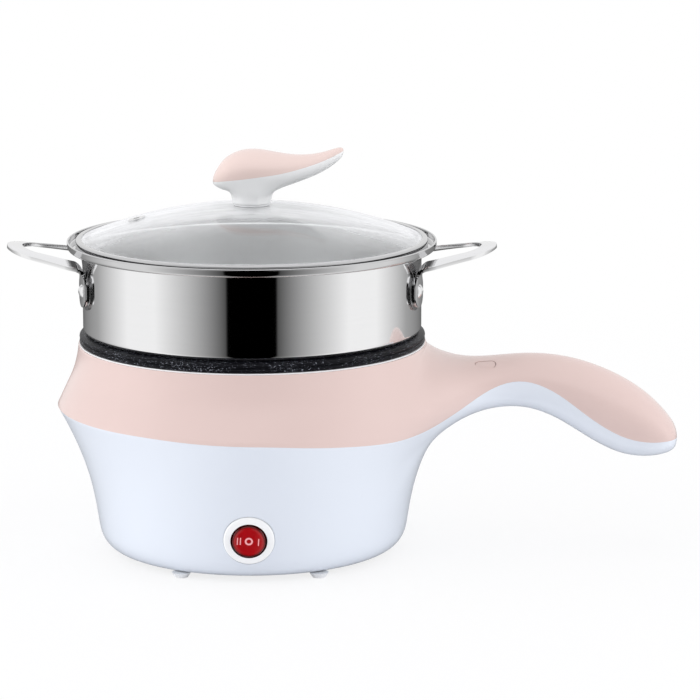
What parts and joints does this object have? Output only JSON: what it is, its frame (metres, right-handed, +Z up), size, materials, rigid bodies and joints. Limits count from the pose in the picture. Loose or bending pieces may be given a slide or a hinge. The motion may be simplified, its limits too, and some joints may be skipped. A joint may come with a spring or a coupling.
{
  "type": "electric hot pot with steamer and lid",
  "caption": "Round electric hot pot with a curved side handle, a rocker switch, a steel steamer with loop handles and a domed glass lid with a beaked knob.",
  "frame": {"origin": "on the pot's own axis, in the plane of the feet's soles", "axes": "+Z up, +X from the pot towards the end of the side handle, -Y the front with the switch"},
  "size_m": [0.3578, 0.208, 0.2167],
  "materials": {
    "white_plastic": "glossy",
    "pink_plastic": "glossy",
    "red_plastic": "glossy, translucent look",
    "black_plastic": "matte",
    "nonstick": "black non-stick coating with fine grey sparkle",
    "cast_aluminium": "as cast",
    "polished_steel": "mirror polished stainless steel",
    "plain_steel": "plain stainless and zinc-plated steel",
    "brass": "plain",
    "silicone": "soft, matte",
    "glass": "clear tempered glass"
  },
  "bodies": {
    "base": {"lower_housing": "white_plastic", "upper_housing": "pink_plastic", "inner_pan": "nonstick", "pan_seal": "silicone", "heating_plate": "cast_aluminium", "heating_element": "plain_steel", "heat_shield": "plain_steel", "thermostat": "black_plastic", "thermal_fuse": "plain_steel", "fuse_clip": "plain_steel", "heater_screws": "plain_steel", "bottom_cover": "white_plastic", "clamp_screws": "plain_steel", "feet": "silicone", "switch_body": "white_plastic", "switch_terminals": "brass", "power_inlet": "black_plastic", "inlet_pins": "brass", "handle_plug": "pink_plastic", "handle_screws": "plain_steel"},
    "steamer": {"steamer_bowl": "polished_steel", "left_loop": "polished_steel", "right_loop": "polished_steel", "left_loop_brackets": "polished_steel", "right_loop_brackets": "polished_steel", "loop_rivets": "polished_steel"},
    "lid": {"lid_glass": "glass", "lid_hoop": "polished_steel", "vent_eyelet": "polished_steel", "knob_base": "white_plastic", "knob_cap": "pink_plastic", "knob_gasket": "silicone", "knob_washer": "plain_steel", "knob_screw": "plain_steel"},
    "switch_rocker": {"rocker": "red_plastic"}
  },
  "joints": [
    {"name": "steamer_lift", "type": "slide", "parent": "base", "child": "steamer", "axis": [0, 0, 1], "range_m": [0, 0.07]},
    {"name": "lid_lift", "type": "slide", "parent": "steamer", "child": "lid", "axis": [0, 0, 1], "range_m": [0, 0.08]},
    {"name": "rocker_tilt", "type": "hinge", "parent": "base", "child": "switch_rocker", "pos_m": [0, -0.08339, 0.02445], "axis": [0, -0.188, 0.9822], "range_deg": [-10, 10]}
  ]
}
